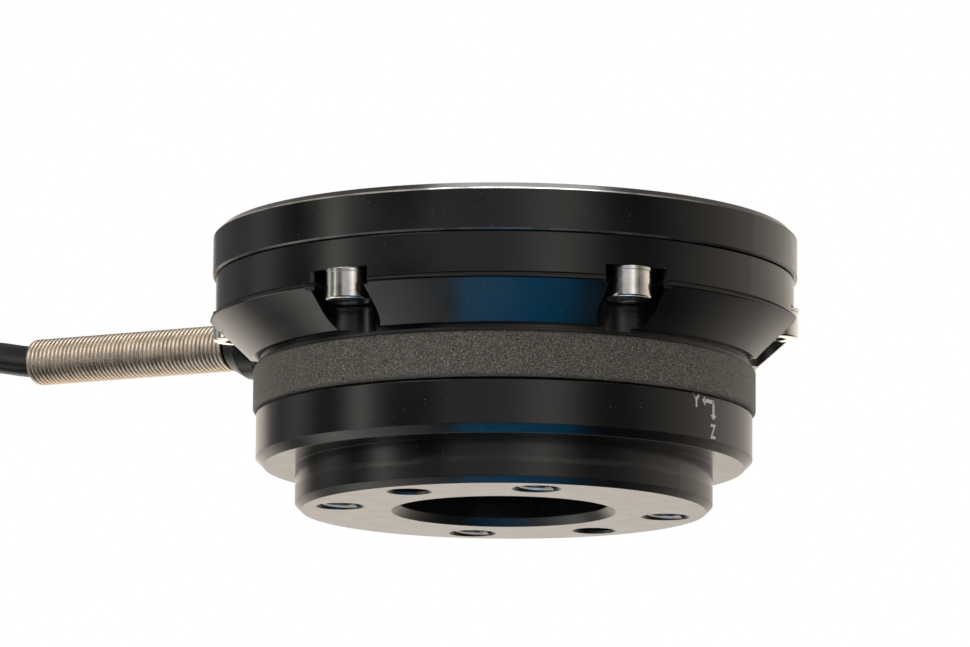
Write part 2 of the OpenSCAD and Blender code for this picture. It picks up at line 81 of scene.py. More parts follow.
class Finish:
    """A procedural material, built up from grain, marks, colour, gloss and relief."""

    def __init__(self, name, colour, roughness, metallic=0.0, ior=1.5):
        self.material = bpy.data.materials.new(name)
        self.material.use_nodes = True
        self.nodes = self.material.node_tree.nodes
        self.links = self.material.node_tree.links
        self.shader = self.nodes["Principled BSDF"]
        self.shader.inputs["Base Color"].default_value = (*colour, 1.0)
        self.shader.inputs["Roughness"].default_value = roughness
        self.shader.inputs["Metallic"].default_value = metallic
        self.shader.inputs["IOR"].default_value = ior
        self.place = self.nodes.new("ShaderNodeTexCoord").outputs["Object"]
        self.normal = None

    def join(self, source, target):
        self.links.new(source, target)

    def surface(self, name):
        return self.nodes.new("ShaderNodeNewGeometry").outputs[name]

    def math(self, operation, a, b=None, c=None):
        node = self.nodes.new("ShaderNodeMath")
        node.operation = operation
        for socket, value in zip(node.inputs, (a, b, c)):
            if isinstance(value, (int, float)):
                socket.default_value = value
            elif value is not None:
                self.join(value, socket)
        return node.outputs[0]

    def vector(self, operation, a, b=None):
        """The node of an operation on a vector a and, where it takes one, a fixed vector b."""
        node = self.nodes.new("ShaderNodeVectorMath")
        node.operation = operation
        self.join(a, node.inputs[0])
        if b is not None:
            node.inputs[1].default_value = b
        return node

    def grain(self, size, detail=3.0, place=None, stretch=(1.0, 1.0, 1.0)):
        """Cloudy noise whose spots are about size metres across."""
        scaled = self.vector("MULTIPLY", place or self.place, [k / size for k in stretch])
        noise = self.nodes.new("ShaderNodeTexNoise")
        noise.inputs["Scale"].default_value = 1.0
        noise.inputs["Detail"].default_value = detail
        self.join(scaled.outputs[0], noise.inputs["Vector"])
        return noise.outputs["Fac"]

    def cells(self, spacing):
        """Cells about spacing metres across, with their distances and random colours."""
        cell = self.nodes.new("ShaderNodeTexVoronoi")
        cell.inputs["Scale"].default_value = 1.0 / spacing
        self.join(self.place, cell.inputs["Vector"])
        return cell

    def split(self, vector, axis):
        parts = self.nodes.new("ShaderNodeSeparateXYZ")
        self.join(vector, parts.inputs[0])
        return parts.outputs[axis]

    def dust(self, spacing, size):
        """One where a small round speck of dust lies."""
        cell = self.cells(spacing)
        chosen = self.math("GREATER_THAN", self.split(cell.outputs["Color"], "X"), 0.82)
        return self.math("MULTIPLY", chosen, self.math("LESS_THAN", cell.outputs["Distance"], size))

    def edge_mask(self):
        """One on the rounded edges, nought on the flats."""
        meet = self.vector("DOT_PRODUCT", self.normal)
        self.join(self.surface("Normal"), meet.inputs[1])
        return self.between(meet.outputs["Value"], 0.995, 0.96)

    def lathe_place(self):
        """Coordinates that don't change along a turned circle: radius and height."""
        across = self.vector("MULTIPLY", self.place, (1, 1, 0))
        radius = self.vector("LENGTH", across.outputs[0])
        both = self.nodes.new("ShaderNodeCombineXYZ")
        self.join(radius.outputs["Value"], both.inputs["X"])
        self.join(self.split(self.place, "Z"), both.inputs["Z"])
        return both.outputs[0]

    def between(self, value, low, high, out_low=0.0, out_high=1.0):
        """Follows value from low to high with a number from out_low to out_high."""
        ranged = self.nodes.new("ShaderNodeMapRange")
        for name, number in zip(("From Min", "From Max", "To Min", "To Max"),
                                (low, high, out_low, out_high)):
            ranged.inputs[name].default_value = number
        self.join(value, ranged.inputs["Value"])
        return ranged.outputs["Result"]

    def tint(self, amount, dark, light, low=0.3, high=0.7):
        """Colour that runs from dark to light as amount runs from low to high."""
        ramp = self.nodes.new("ShaderNodeValToRGB")
        ramp.color_ramp.elements[0].position = low
        ramp.color_ramp.elements[0].color = (*dark, 1.0)
        ramp.color_ramp.elements[1].position = high
        ramp.color_ramp.elements[1].color = (*light, 1.0)
        self.join(amount, ramp.inputs["Fac"])
        self.join(ramp.outputs["Color"], self.shader.inputs["Base Color"])
        return ramp.outputs["Color"]

    def blend(self, amount, first, second):
        """Mixes two colours, the second one where amount is high."""
        mixed = self.nodes.new("ShaderNodeMix")
        mixed.data_type = "RGBA"
        self.join(amount, mixed.inputs[0])
        for socket, value in ((mixed.inputs[6], first), (mixed.inputs[7], second)):
            if isinstance(value, tuple):
                socket.default_value = (*value, 1.0)
            else:
                self.join(value, socket)
        self.join(mixed.outputs[2], self.shader.inputs["Base Color"])
        return mixed.outputs[2]

    def zone(self, value, low, high, amount=1.0):
        """Amount where value lies from low to high, with soft ends, nought elsewhere."""
        soft = 0.0001
        return self.math("MULTIPLY", self.between(value, low, low + soft),
                         self.between(value, high, high - soft, 0.0, amount))

    def dull(self, amount, low, high):
        """Roughness from low to high, following amount."""
        self.join(self.between(amount, 0.3, 0.7, low, high), self.shader.inputs["Roughness"])

    def round_edges(self, radius):
        edge = self.nodes.new("ShaderNodeBevel")
        edge.samples = 6
        edge.inputs["Radius"].default_value = radius
        self.normal = edge.outputs["Normal"]
        self.join(self.normal, self.shader.inputs["Normal"])

    def relief(self, height, depth, strength=1.0):
        bump = self.nodes.new("ShaderNodeBump")
        bump.inputs["Distance"].default_value = depth
        bump.inputs["Strength"].default_value = strength
        self.join(height, bump.inputs["Height"])
        if self.normal is not None:
            self.join(self.normal, bump.inputs["Normal"])
        self.normal = bump.outputs["Normal"]
        self.join(self.normal, self.shader.inputs["Normal"])


def black_anodised(name="black_anodised", gloss=0.2, worn_and_lit_heights=(), satin_below=None, matt=None):
    """Satin black anodised aluminium: turning marks, wiped patches, worn edges, a little dust.

    worn_and_lit_heights lists heights (low, high) and how far one side between them is painted as
    bare metal: partly wear, partly painted highlight.
    matt gives the heights (low, high) between which the surface is matt.
    satin_below is the height under which the wall is less polished; faces there lie smooth. Along
    that height a pale streak is painted on the outside wall: a painted highlight.
    """
    f = Finish(name, (0.004, 0.004, 0.004), gloss, ior=1.5)
    f.round_edges(0.00015)
    ring = f.lathe_place()
    radius, height = f.split(ring, "X"), f.split(f.place, "Z")
    turned = f.grain(0.00022, 4.0, ring)
    wiped = f.grain(0.009, 6.0)
    base = f.tint(wiped, (0.0016, 0.0016, 0.0018), (0.0046, 0.0044, 0.0040))
    worn = f.math("MULTIPLY", f.edge_mask(), f.between(f.grain(0.004, 4.0), 0.40, 0.62))
    base = f.blend(worn, base, (0.014, 0.0135, 0.0125))
    base = f.blend(f.dust(0.0008, 0.075), base, (0.17, 0.16, 0.15))
    roughness = f.between(wiped, 0.3, 0.7, gloss - 0.04, gloss + 0.06)
    if matt:
        roughness = f.math("ADD", roughness, f.zone(height, *matt, amount=0.6))
    if satin_below:
        wavy = f.math("ADD", height, f.between(wiped, 0.3, 0.7, -0.0004, 0.0004))
        satin = f.between(wavy, satin_below, satin_below - 0.0004, 0.0, 0.06)
        upright = f.math("GREATER_THAN", f.split(f.surface("Normal"), "Z"), -0.95)
        face = f.between(f.grain(0.004, 6.0), 0.3, 0.7, 0.24, 0.27)
        roughness = f.math("MULTIPLY_ADD", upright, f.math("ADD", satin, -0.04), face)
        # Painted highlight: a pale streak along the satin edge of the outside wall.
        base = painted_highlight_streak(f, base, turned, wiped, radius, upright,
                              f.math("ABSOLUTE", f.math("SUBTRACT", wavy, satin_below)))
    f.join(roughness, f.shader.inputs["Roughness"])
    if worn_and_lit_heights:
        paint_worn_and_lit_lines(f, base, worn_and_lit_heights, radius, height)
    f.relief(f.grain(0.00016, 2.0), 0.000004, 0.5)
    f.relief(turned, 0.000003, 0.5)
    return f.material


def painted_highlight_streak(f, base, turned, wiped, radius, upright, distance):
    """A pale streak painted round the outside wall along the satin edge, over the base colour: a
    painted highlight.
    """
    streak = f.math("MULTIPLY", f.between(distance, 0.0006, 0.0),
                    f.between(turned, 0.35, 0.65, 0.3, 1.0))
    streak = f.math("MULTIPLY", streak, f.between(wiped, 0.40, 0.60))
    outside = f.math("GREATER_THAN", radius, 0.030)
    streak = f.math("MULTIPLY", streak, f.math("MULTIPLY", outside, upright))
    return f.blend(streak, base, (0.056, 0.052, 0.047))


def paint_worn_and_lit_lines(f, base, worn_and_lit_heights, radius, height):
    """Thin pale metal lines on the outermost wall, partly worn bare metal and partly painted
    highlight: they are painted only on the side that faces (0.31, -0.95), where these edges catch
    the light.
    """
    lines = 0.0
    for low, high, amount in worn_and_lit_heights:
        lines = f.math("ADD", f.zone(height, low, high, amount), lines)
    lines = f.math("MULTIPLY", lines, f.math("GREATER_THAN", radius, 0.040))
    # Painted highlight: the lines are kept to the side facing (0.31, -0.95), where the chamfers
    # shine.
    side = f.vector("DOT_PRODUCT", f.place, (0.31, -0.95, 0.0))
    lines = f.math("MULTIPLY", lines, f.between(side.outputs["Value"], 0.020, 0.040))
    bare = f.math("MULTIPLY", lines, f.between(f.grain(0.003, 3.0), 0.30, 0.60, 0.3, 1.0))
    f.blend(bare, base, (0.62, 0.60, 0.57))
    f.join(bare, f.shader.inputs["Metallic"])


def sintered_band():
    """Warm dark grey granular elastomer with small bright grains."""
    f = Finish("granular_band", (0.085, 0.078, 0.070), 0.62, ior=1.5)
    coarse = f.grain(0.00028, 3.0)
    grit = f.grain(0.00014, 1.0)
    mix = f.math("ADD", f.math("MULTIPLY", coarse, 0.35), f.math("MULTIPLY", grit, 0.65))
    base = f.tint(mix, (0.014, 0.0118, 0.0092), (0.180, 0.157, 0.130), 0.41, 0.61)
    glints = f.math("GREATER_THAN", f.grain(0.00018, 0.0), 0.71)
    f.blend(glints, base, (0.30, 0.28, 0.25))
    f.dull(coarse, 0.50, 0.68)
    f.relief(mix, 0.00010, 0.9)
    f.shader.inputs["Sheen Weight"].default_value = 0.45
    f.shader.inputs["Sheen Roughness"].default_value = 0.25
    f.shader.inputs["Sheen Tint"].default_value = (1.0, 0.94, 0.86, 1.0)
    return f.material


def machined_steel(name, colour, gloss, along=(0, 0, 1)):
    """Turned stainless or plated steel with fine marks across its length."""
    f = Finish(name, colour, gloss, metallic=1.0)
    f.round_edges(0.00012)
    cloud = f.grain(0.0025, 4.0)
    fine = f.grain(0.00012, 2.0, stretch=[0.3 + 3.0 * k for k in along])
    light = tuple(min(1.0, c * 1.18) for c in colour)
    f.tint(cloud, tuple(c * 0.82 for c in colour), light)
    f.dull(cloud, gloss - 0.04, gloss + 0.06)
    f.relief(fine, 0.000003, 0.5)
    return f.material


def spring_wire_steel():
    """Slightly warm plated wire with drawing marks, its upper side painted darker: painted shade.
    """
    f = Finish("spring_wire", (0.74, 0.65, 0.55), 0.3, metallic=1.0)
    cloud = f.grain(0.0018, 4.0)
    base = f.tint(cloud, (0.56, 0.475, 0.385), (0.80, 0.69, 0.57))
    # Painted shade: faces turned upwards are blended towards a dark brown, standing in for the
    # shade on the spring's upper side.
    dust = f.between(f.split(f.surface("Normal"), "Z"), 0.45, 0.85, 0.0, 0.7)
    f.blend(dust, base, (0.15, 0.13, 0.105))
    f.dull(cloud, 0.38, 0.46)
    f.relief(f.grain(0.00012, 2.0), 0.000002, 0.4)
    return f.material


def milled_aluminium(name="milled_aluminium", black_past=None):
    """Bare aluminium with turning rings and tool marks, black anodised past a radius."""
    f = Finish(name, (0.72, 0.73, 0.75), 0.32, metallic=1.0)
    f.round_edges(0.00015)
    ring = f.lathe_place()
    rings = f.grain(0.00018, 3.0, ring)
    base = f.tint(f.grain(0.006, 4.0), (0.60, 0.61, 0.63), (0.80, 0.81, 0.83))
    f.dull(rings, 0.24, 0.42)
    if black_past:
        bare = f.math("LESS_THAN", f.split(ring, "X"), black_past)
        f.blend(bare, (0.0045, 0.0045, 0.0045), base)
        f.join(bare, f.shader.inputs["Metallic"])
    f.relief(rings, 0.00001, 0.6)
    return f.material


def rubber(name, colour, roughness=0.55, grain=0.0004):
    f = Finish(name, colour, roughness, ior=1.5)
    cloud = f.grain(0.004, 4.0)
    f.tint(cloud, tuple(c * 0.75 for c in colour), tuple(c * 1.35 for c in colour))
    f.dull(cloud, roughness - 0.07, roughness + 0.08)
    f.relief(f.grain(grain, 2.0), 0.00001, 0.5)
    return f.material


def moulded(name, colour, roughness=0.45, texture=0.00025):
    """Moulded plastic with a fine spark-eroded texture."""
    f = Finish(name, colour, roughness, ior=1.48)
    f.round_edges(0.0001)
    cloud = f.grain(0.003, 3.0)
    f.tint(cloud, tuple(c * 0.85 for c in colour), tuple(min(1.0, c * 1.15) for c in colour))
    f.dull(cloud, roughness - 0.05, roughness + 0.07)
    f.relief(f.cells(texture).outputs["Distance"], 0.000012, 0.5)
    return f.material


def solder_mask():
    """Green board with copper tracks that show through the mask."""
    f = Finish("solder_mask", (0.012, 0.11, 0.045), 0.28, ior=1.52)
    brick = f.nodes.new("ShaderNodeTexBrick")
    brick.inputs["Scale"].default_value = 420.0
    brick.inputs["Mortar Size"].default_value = 0.07
    brick.inputs["Row Height"].default_value = 0.42
    brick.inputs["Brick Width"].default_value = 1.9
    f.join(f.place, brick.inputs["Vector"])
    tracks = brick.outputs["Fac"]
    f.blend(tracks, f.tint(f.grain(0.004, 3.0), (0.008, 0.085, 0.035), (0.014, 0.125, 0.05)),
            (0.05, 0.22, 0.09))
    f.dull(f.grain(0.001, 3.0), 0.22, 0.38)
    f.relief(tracks, 0.00004, 0.6)
    return f.material


def gauge_foil():
    """Strain gauge: a meandering grid under amber film."""
    f = Finish("gauge_foil", (0.62, 0.36, 0.09), 0.25, ior=1.6)
    wave = f.nodes.new("ShaderNodeTexWave")
    wave.inputs["Scale"].default_value = 900.0
    wave.inputs["Distortion"].default_value = 0.4
    f.join(f.place, wave.inputs["Vector"])
    f.tint(wave.outputs["Fac"], (0.50, 0.26, 0.05), (0.72, 0.58, 0.38), 0.45, 0.55)
    f.relief(wave.outputs["Fac"], 0.00002, 0.5)
    return f.material


def cable_jacket():
    """Smooth black polyurethane jacket with faint drawing lines."""
    f = Finish("cable_jacket", (0.011, 0.011, 0.012), 0.38, ior=1.5)
    cloud = f.grain(0.006, 4.0)
    f.tint(cloud, (0.006, 0.006, 0.0065), (0.013, 0.013, 0.0135))
    f.dull(cloud, 0.28, 0.40)
    f.relief(f.grain(0.00035, 3.0), 0.00002, 0.5)
    return f.material


def gold_plate():
    f = Finish("gold_plate", (0.83, 0.60, 0.24), 0.2, metallic=1.0)
    cloud = f.grain(0.0012, 3.0)
    f.tint(cloud, (0.72, 0.50, 0.18), (0.90, 0.68, 0.30))
    f.dull(cloud, 0.15, 0.28)
    f.relief(f.grain(0.00015, 2.0), 0.000004, 0.5)
    return f.material


def mark_paint():
    """Pale laser marking on the black ring."""
    f = Finish("pale_marking", (0.66, 0.64, 0.60), 0.6)
    f.tint(f.grain(0.0002, 3.0), (0.52, 0.50, 0.47), (0.76, 0.74, 0.70))
    f.relief(f.grain(0.00008, 2.0), 0.00001, 0.6)
    return f.material


# ---------------------------------------------------------------- modelling helpers

def unselect():
    if bpy.context.object and bpy.context.object.mode != "OBJECT":
        bpy.ops.object.mode_set(mode="OBJECT")
    bpy.ops.object.select_all(action="DESELECT")


def select(pieces):
    """Selects these pieces alone, the first of them active."""
    unselect()
    for piece in pieces:
        piece.select_set(True)
    bpy.context.view_layer.objects.active = pieces[0]


def settle(piece, name, material):
    """Puts a finished piece's place into its mesh, and gives it its finish and its body."""
    select([piece])
    bpy.ops.object.transform_apply(location=True, rotation=True, scale=True)
    piece.name = piece.data.name = name
    piece.data.materials.clear()
    piece.data.materials.append(material)
    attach(piece, "root")
    return piece


def coil_of_wire(wire_r, sides, turn_r, pitch, turns, steps, start, flat=1.0):
    """A wire wound about Z, from height start upwards.

    Its section has this many sides and is squeezed radially by flat; a turn has this many steps.
    """
    unselect()
    bpy.ops.mesh.primitive_circle_add(vertices=sides, radius=wire_r,
                                      location=(turn_r, 0, start), rotation=(math.pi / 2, 0, 0))
    wire = bpy.context.object
    bpy.ops.object.transform_apply(location=False, rotation=True, scale=False)
    wire.scale = (flat, 1, 1)
    bpy.ops.object.transform_apply(location=True, rotation=True, scale=True)
    winding = wire.modifiers.new("winding", "SCREW")
    winding.axis = "Z"
    winding.angle = 2 * math.pi * turns
    winding.screw_offset = pitch * turns
    winding.iterations = 1
    winding.steps = winding.render_steps = int(steps * turns)
    bpy.ops.object.modifier_apply(modifier="winding")
    bpy.ops.object.mode_set(mode="EDIT")
    bpy.ops.mesh.select_all(action="SELECT")
    bpy.ops.mesh.fill_holes(sides=sides)
    bpy.ops.mesh.normals_make_consistent(inside=False)
    bpy.ops.object.mode_set(mode="OBJECT")
    return wire


# ---------------------------------------------------------------- cable

# The cable's route, as in the part's source, in millimetres
BOARD_TO_COIL = [
    (-24, 0, 29.5), (-37, 0, 29.5), (-50, 0, 29.5), (-63, 0, 29.8), (-77, 0, 30.2),
    (-90, 0, 30.6), (-98, 0, 32), (-107, 0, 33), (-117, 0.5, 33), (-128, 1.5, 31.5),
    (-137, 1.5, 29.2), (-146, -1, 26), (-154, -6, 22), (-160.5, -13, 18), (-164, -22, 14),
    (-165.5, -32, 10), (-164.5, -42, 6.8), (-160.5, -51, 4.5), (-153.5, -58, 3.4),
    (-145.5, -62.5, 3.1), (-137, -64, 3.1)]
COIL_TO_PLUG = [(-117, -62.5, 8.1), (-111, -61.5, 8.1), (-105, -61, 8.1), (-101, -61, 7.6),
                (-98, -61, 7.3), (-92, -61, 7.25)]
COIL_CENTRE = (-128, -32)
# Angle along the winding, radius and height there; between two rows the cable eases over
WINDING = [(270, 32, 3.1), (575, 32, 3.1), (630, 27, 3.1), (925, 27, 3.1), (985, 22.7, 5.6),
           (1012, 22.7, 5.6), (1080, 27, 8.1), (1360, 27, 8.1), (1420, 32, 8.1), (1720, 32, 8.1)]
# The cable's diameter and the middle of the gland's face, in metres
CABLE_D = 0.005
EXIT = (-0.0503, 0, 0.0295)


def winding_points():
    points = []
    for (a0, r0, z0), (a1, r1, z1) in zip(WINDING, WINDING[1:]):
        steps = max(2, round((a1 - a0) / 18))
        for i in range(steps):
            t = i / steps
            ease = t * t * (3 - 2 * t)
            a = math.radians(a0 + (a1 - a0) * t)
            r = r0 + (r1 - r0) * ease
            points.append((COIL_CENTRE[0] + r * math.cos(a), COIL_CENTRE[1] + r * math.sin(a),
                           z0 + (z1 - z0) * ease))
    a = math.radians(WINDING[-1][0])
    points.append((COIL_CENTRE[0] + WINDING[-1][1] * math.cos(a),
                   COIL_CENTRE[1] + WINDING[-1][1] * math.sin(a), WINDING[-1][2]))
    return points


def lay_cable(material):
    route = BOARD_TO_COIL + winding_points() + COIL_TO_PLUG
    line = bpy.data.curves.new("cable_lead", "CURVE")
    line.dimensions = "3D"
    line.resolution_u = 6
    line.bevel_depth = CABLE_D / 2
    line.bevel_resolution = 5
    line.use_fill_caps = True
    spline = line.splines.new("BEZIER")
    spline.bezier_points.add(len(route) - 1)
    for point, place in zip(spline.bezier_points, route):
        point.co = [c * MM for c in place]
        point.handle_left_type = point.handle_right_type = "AUTO"
    lead = bpy.data.objects.new("cable_lead", line)
    bpy.context.scene.collection.objects.link(lead)
    line.materials.append(material)
    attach(lead, "root")
    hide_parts("cable", "cable_coil", "cable_tail")


# ---------------------------------------------------------------- wire-wound pieces

def wind_spring(material):
    """Close-wound strain relief over the cable.

    Its 48 turns are as long as the 49 ridges in the source. The flattened wire is for the look.
    """
    wire, outer, pitch, turns, flat = 0.79, 7.35, 0.8, 48, 0.45
    spring = coil_of_wire(wire / 2 * MM, 12, (outer - wire * flat) / 2 * MM, pitch * MM, turns, 28,
                          0.5 * MM, flat)
    select([spring])
    bpy.ops.object.shade_smooth()
    tilt = 1.4
    spring.rotation_euler = (0, math.radians(tilt - 90), 0)
    spring.location = EXIT
    settle(spring, "spring_winding", material)
    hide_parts("strain_relief_spring")
    return spring


def wind_thread_inserts(material):
    """Wire thread inserts in the tool-side holes: a diamond wire wound to M6."""
    pitch, turns = 1.0, 8
    first = coil_of_wire(0.5 * MM, 4, 2.85 * MM, pitch * MM, turns, 36, 0.56 * MM)
    inserts = []
    for angle in (45, 135, 225, 315):
        copy = first.copy()
        copy.data = first.data.copy()
        bpy.context.scene.collection.objects.link(copy)
        a = math.radians(angle)
        copy.rotation_euler = (0, 0, math.radians(60))
        copy.location = (BOLT_R * math.cos(a), BOLT_R * math.sin(a), 0)
        inserts.append(copy)
    bpy.data.objects.remove(first)
    select(inserts)
    bpy.ops.object.join()
    joined = settle(inserts[0], "thread_insert_coils", material)
    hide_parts("thread_inserts")


# ---------------------------------------------------------------- marks

IN_FRONT = 0.040         # where the marks are drawn, just beyond the ring's wall


def lay_on_ring(flat, name, material):
    """Wraps a flat mark, drawn in front of +X, on to the ring of the tool plate."""
    select([flat])
    bpy.ops.object.transform_apply(location=True, rotation=True, scale=True)
    low, high, step = -6.0, 0.8, 0.25
    bpy.ops.object.mode_set(mode="EDIT")
    for i in range(round((high - low) / step)):
        bpy.ops.mesh.select_all(action="SELECT")
        bpy.ops.mesh.bisect(plane_co=(0, (low + i * step) * MM, 0), plane_no=(0, 1, 0))
    bpy.ops.object.mode_set(mode="OBJECT")
    wrap = flat.modifiers.new("wrap", "SHRINKWRAP")
    wrap.target = cad["tool_plate"]
    wrap.wrap_method = "PROJECT"
    wrap.use_project_x = True
    wrap.use_positive_direction = False
    wrap.use_negative_direction = True
    wrap.offset = 0.00003
    bpy.ops.object.modifier_apply(modifier="wrap")
    paint = flat.modifiers.new("paint", "SOLIDIFY")
    paint.thickness = 0.00004
    bpy.ops.object.modifier_apply(modifier="paint")
    return settle(flat, name, material)


def letter(text, width, height, place):
    """A letter of an exact size, drawn in front of +X with its middle at place (y, z)."""
    unselect()
    bpy.ops.object.text_add(location=(0, 0, 0))
    drawn = bpy.context.object
    drawn.data.body = text
    drawn.data.size = 1.4 * height
    drawn.data.offset = 0.00009
    bpy.ops.object.convert(target="MESH")
    drawn = bpy.context.object
    bpy.ops.object.origin_set(type="ORIGIN_GEOMETRY", center="BOUNDS")
    drawn.dimensions = (width, height, 0)
    drawn.rotation_euler = (math.pi / 2, 0, math.pi / 2)
    drawn.location = (IN_FRONT, *place)
    return drawn


def arrow(start, end, width, head_length, head_width):
    """A flat arrow in front of +X from start to end (y, z)."""
    (y0, z0), (y1, z1) = start, end
    length = math.hypot(y1 - y0, z1 - z0)
    body = length - head_length
    unselect()
    bpy.ops.mesh.primitive_plane_add(size=1, location=(body / 2, 0, 0))
    line = bpy.context.object
    line.scale = (body, width, 1)
    bpy.ops.object.transform_apply(location=True, rotation=True, scale=True)
    bpy.ops.mesh.primitive_circle_add(vertices=3, radius=1, fill_type="NGON",
                                      rotation=(0, 0, -math.pi / 2))
    head = bpy.context.object
    bpy.ops.object.transform_apply(location=True, rotation=True, scale=True)
    head.scale = (head_length / 1.5, head_width / math.sqrt(3), 1)
    head.location = (length - head_length / 1.5, 0, 0)
    bpy.ops.object.transform_apply(location=True, rotation=True, scale=True)
    select([line, head])
    bpy.ops.object.join()
    line.rotation_euler = (math.pi / 2, -math.atan2(z1 - z0, y1 - y0), math.pi / 2)
    line.location = (IN_FRONT, y0, z0)
    return line


def mark_axes(material):
    """Small axis mark: an arrow round the ring, one along the axis, and their letters."""
    stroke, head_width = 0.56 * MM, 1.6 * MM
    parts = [
        arrow((-0.12 * MM, 13.53 * MM), (-3.3 * MM, 13.53 * MM), stroke, 0.8 * MM, head_width),
        arrow((-0.4 * MM, 13.8 * MM), (-0.4 * MM, 10.85 * MM), stroke, 0.75 * MM, head_width),
        letter("Y", 1.68 * MM, 2.07 * MM, (-4.65 * MM, 13.33 * MM)),
        letter("Z", 1.46 * MM, 2.2 * MM, (-0.52 * MM, 9.15 * MM)),
    ]
    select(parts)
    bpy.ops.object.join()
    lay_on_ring(bpy.context.object, "axis_mark", material)


# ---------------------------------------------------------------- studio

# The room's brightness by angle from the camera's own direction, positive to its right. The numbers
# were chosen so that the gloss looks as it does in the photograph.
PALE, MILD, WARM = (1.0, 1.0, 0.99), (1.04, 1.0, 0.92), (1.10, 1.0, 0.89)
BRIGHTNESS = [
    (WARM, [(-180, 1.35), (-164, 1.15), (-152, 1.15), (-143, 0.75)]),
    (MILD, [(-135, 0.30), (-70, 2.0)]),
    (PALE, [(-126, 0.14), (-112, 0.55), (-104, 0.43), (-95, 0.10), (-86, 0.07), (-78, 0.42),
            (-62, 0.45), (-54, 0.08), (-42, 0.03), (-34, 0.10), (-27, 0.42), (-12, 0.42),
            (2, 0.50), (10, 0.73)]),
    (MILD, [(20, 1.15), (28, 0.84), (36, 0.36), (44, 0.10), (58, 0.09), (70, 0.27)]),
    (WARM, [(84, 0.46), (100, 0.62), (122, 0.82), (146, 0.87), (166, 0.90), (180, 1.35)]),
]
# The same for the lower part of the room
GROUND = [
    (WARM, [(-180, 1.35), (-158, 1.08), (-152, 0.90)]),
    (MILD, [(-145, 0.50), (-125, 1.3), (-118, 1.8)]),
    (PALE, [(-139, 0.08), (-132, 0.12), (-105, 1.0), (-91, 0.46), (-79, 0.22), (-63, 0.0),
            (-45, 0.0), (110, 0.0)]),
    (WARM, [(118, 0.05), (125, 0.16), (132, 0.33), (139, 0.46), (145, 0.60), (152, 0.76),
            (158, 0.92), (168, 1.1), (180, 1.35)]),
]


def studio_world():
    """Soft room: bright strips and dark gaps round the sensor, bright beyond it."""
    world = bpy.data.worlds.new("studio")
    bpy.context.scene.world = world
    world.use_nodes = True
    nodes, links = world.node_tree.nodes, world.node_tree.links
    nodes.clear()

    def new(kind, **settings):
        node = nodes.new(kind)
        for key, value in settings.items():
            setattr(node, key, value)
        return node

    def dot(vector):
        node = new("ShaderNodeVectorMath", operation="DOT_PRODUCT")
        node.inputs[1].default_value = vector
        links.new(way, node.inputs[0])
        return node.outputs["Value"]

    def ramp(value, stops, strength):
        node = new("ShaderNodeValToRGB")
        elements = node.color_ramp.elements
        for position, colour in stops[1:-1]:
            elements.new(position)
        for element, (position, colour) in zip(elements, stops):
            element.position = position
            element.color = (*[c / strength for c in colour], 1.0)
        links.new(value, node.inputs["Fac"])
        scale = new("ShaderNodeVectorMath", operation="SCALE")
        scale.inputs["Scale"].default_value = strength
        links.new(node.outputs["Color"], scale.inputs[0])
        return scale.outputs[0]

    def mix(amount, first, second):
        node = new("ShaderNodeMix", data_type="RGBA")
        for socket, value in ((node.inputs[0], amount), (node.inputs[6], first),
                              (node.inputs[7], second)):
            if isinstance(value, (tuple, list)):
                socket.default_value = (*value, 1.0)
            else:
                links.new(value, socket)
        return node.outputs[2]

    def rise(value, low, high):
        node = new("ShaderNodeMapRange", interpolation_type="SMOOTHSTEP")
        node.inputs["From Min"].default_value = low
        node.inputs["From Max"].default_value = high
        links.new(value, node.inputs["Value"])
        return node.outputs["Result"]

    way = new("ShaderNodeTexCoord").outputs["Generated"]
    right, ahead = dot((0.828, 0.560, 0.0)), dot((-0.560, 0.828, 0.0))
    turn = new("ShaderNodeMath", operation="ARCTAN2")
    links.new(right, turn.inputs[0])
    back = new("ShaderNodeMath", operation="MULTIPLY")
    back.inputs[1].default_value = -1.0
    links.new(ahead, back.inputs[0])
    links.new(back.outputs[0], turn.inputs[1])
    round_room = new("ShaderNodeMath", operation="MULTIPLY_ADD")
    round_room.inputs[1].default_value = 1 / (2 * math.pi)
    round_room.inputs[2].default_value = 0.5
    links.new(turn.outputs[0], round_room.inputs[0])

    def grey(v, tint):
        return [v * c for c in tint]

    def round_wall(table):
        stops = [(angle / 360 + 0.5, grey(v, tint)) for tint, rows in table for angle, v in rows]
        return ramp(round_room.outputs[0], sorted(stops), 2.0)

    room = mix(rise(dot((0.0, 0.0, -1.0)), 0.2, 0.45), round_wall(BRIGHTNESS), round_wall(GROUND))
    room = mix(rise(dot((0.0, 0.0, 1.0)), 0.24, 0.5), room, grey(0.42, WARM))

    # Gloss reflects the room, matt surfaces are lit by an even grey, and the camera sees white
    rays = new("ShaderNodeLightPath")
    soft = mix(rays.outputs["Is Glossy Ray"], grey(0.55, PALE), room)
    seen = mix(rays.outputs["Is Camera Ray"], soft, (1.0, 1.0, 1.0))
    sky = new("ShaderNodeBackground")
    links.new(seen, sky.inputs["Color"])
    out = new("ShaderNodeOutputWorld")
    links.new(sky.outputs[0], out.inputs["Surface"])


def softbox(name, place, size, power):
    bpy.ops.object.light_add(type="AREA", location=place)
    lamp = bpy.context.object
    lamp.name = name
    lamp.data.shape = "SQUARE"
    lamp.data.size = size
    lamp.data.energy = power
    aim = Vector((0, 0, 0.02)) - Vector(place)
    lamp.rotation_euler = aim.to_track_quat("-Z", "Y").to_euler()


